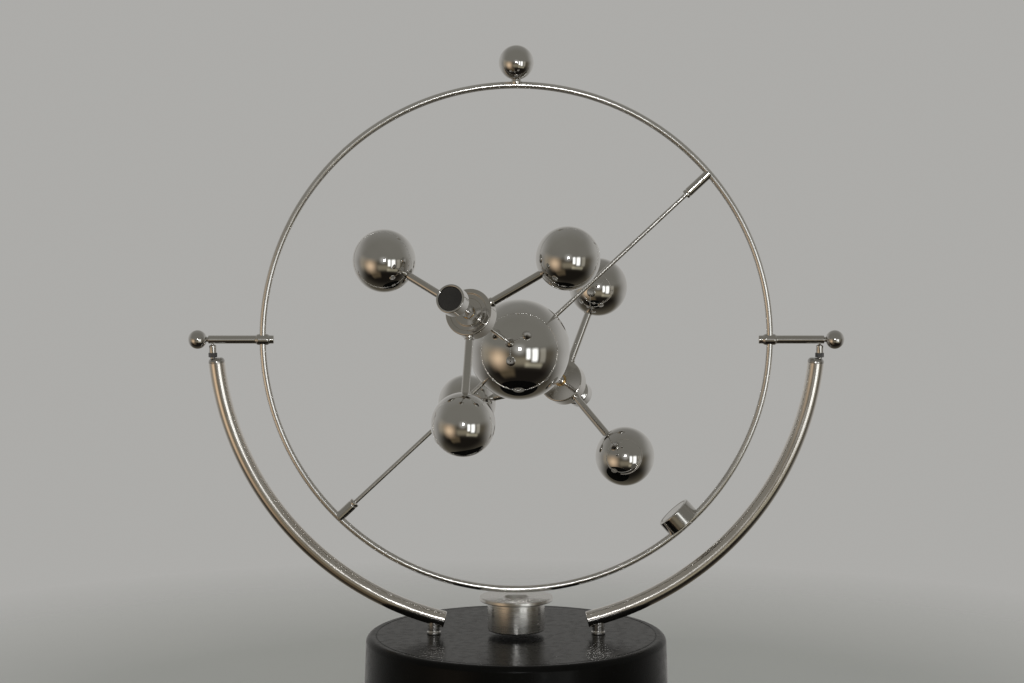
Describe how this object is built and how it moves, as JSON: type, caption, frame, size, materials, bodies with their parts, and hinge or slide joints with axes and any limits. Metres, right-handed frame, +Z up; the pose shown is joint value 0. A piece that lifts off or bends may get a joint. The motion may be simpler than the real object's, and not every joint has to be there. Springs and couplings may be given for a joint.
{
  "type": "electromagnetic kinetic desk mobile",
  "caption": "Desk mobile: a wire ring rocks on needle pivots above a drive coil, and carries a slanted axle with a centre ball and free-spinning ball spinners.",
  "frame": {"origin": "centre of the flat underside that the base rests on", "axes": "+Z up through the base's centre, +X along the ring's pivot axis to the viewer's right, -Y towards the viewer"},
  "size_m": [0.24, 0.1454, 0.2601],
  "materials": {
    "gloss_black": "gloss",
    "moulded_black": "fine grain",
    "foot_rubber": "matt",
    "zinc_screw": "zinc plated",
    "cell_wrap": "printed-free sleeve",
    "spring_steel": "nickel plated",
    "nickel_contact": "nickel plated",
    "bobbin_nylon": "natural nylon",
    "copper_winding": "enamelled copper wire",
    "soft_iron": "turned",
    "board_green": "solder mask",
    "component_black": "moulded",
    "chrome_tube": "polished",
    "turned_steel": "turned",
    "dark_nut": "blackened",
    "chrome_wire": "polished",
    "chrome_rod": "polished",
    "chrome_ball": "mirror polished",
    "satin_plate": "satin nickel",
    "magnet_black": "matt ferrite",
    "magnet_nickel": "nickel plated",
    "axle_steel": "ground",
    "chrome_collar": "polished",
    "chrome_hub": "polished",
    "bush_brass": "turned"
  },
  "bodies": {
    "base": {"base_shell": "gloss_black", "base_plate": "moulded_black", "foot_ring": "foot_rubber", "plate_screws": "zinc_screw", "battery_tray": "moulded_black", "aa_cells": "cell_wrap", "battery_springs": "spring_steel", "battery_contacts": "nickel_contact", "coil_bobbin": "bobbin_nylon", "coil_winding": "copper_winding", "coil_core": "soft_iron", "circuit_board": "board_green", "board_components": "component_black", "left_support_arm": "chrome_tube", "right_support_arm": "chrome_tube", "arm_inserts": "turned_steel", "arm_ferrules": "turned_steel", "arm_screws": "zinc_screw", "tip_plugs": "turned_steel", "pivot_lock_nuts": "dark_nut", "pivot_needles": "turned_steel"},
    "door": {"battery_door": "moulded_black"},
    "ring": {"ring": "chrome_wire", "left_pivot_rod": "chrome_rod", "right_pivot_rod": "chrome_rod", "pivot_knobs": "chrome_ball", "top_ball_stem": "chrome_rod", "top_ball": "chrome_ball", "magnet_plate": "satin_plate", "swing_magnet_cup": "satin_plate", "swing_magnet": "magnet_black", "side_magnet": "magnet_nickel", "lower_bearing": "chrome_rod", "upper_bearing": "chrome_rod"},
    "mobile": {"centre_ball": "chrome_ball", "lower_tilt_axle": "axle_steel", "upper_tilt_axle": "axle_steel", "front_cross_axle": "axle_steel", "front_inner_collar": "chrome_collar", "front_axle_nut": "chrome_collar", "front_magnet_cup": "chrome_collar", "front_end_magnet": "magnet_black", "rear_cross_axle": "axle_steel", "rear_inner_collar": "chrome_collar", "rear_axle_nut": "chrome_collar", "rear_magnet_cup": "chrome_collar", "rear_end_magnet": "magnet_black"},
    "front_spinner": {"front_hub": "chrome_hub", "front_hub_bush": "bush_brass", "front_spokes": "chrome_rod", "front_ball_1": "chrome_ball", "front_ball_2": "chrome_ball", "front_ball_3": "chrome_ball"},
    "rear_spinner": {"rear_hub": "chrome_hub", "rear_hub_bush": "bush_brass", "rear_spokes": "chrome_rod", "rear_ball_1": "chrome_ball", "rear_ball_2": "chrome_ball", "rear_ball_3": "chrome_ball"}
  },
  "joints": [
    {"name": "ring_rock", "type": "hinge", "parent": "base", "child": "ring", "pos_m": [0, 0, 0.153], "axis": [1, 0, 0], "range_deg": [-30, 30]},
    {"name": "mobile_turn", "type": "hinge", "parent": "ring", "child": "mobile", "pos_m": [0.0011, 0, 0.14926], "axis": [0.7302, 0, 0.6833], "continuous": true},
    {"name": "front_spin", "type": "hinge", "parent": "mobile", "child": "front_spinner", "pos_m": [0.0011, 0, 0.14926], "axis": [-0.3049, -0.8949, 0.3258], "continuous": true},
    {"name": "rear_spin", "type": "hinge", "parent": "mobile", "child": "rear_spinner", "pos_m": [0.0011, 0, 0.14926], "axis": [0.3049, 0.8949, -0.3258], "continuous": true},
    {"name": "door_slide", "type": "slide", "parent": "base", "child": "door", "axis": [0, -1, 0], "range_m": [0, 0.006]}
  ]
}
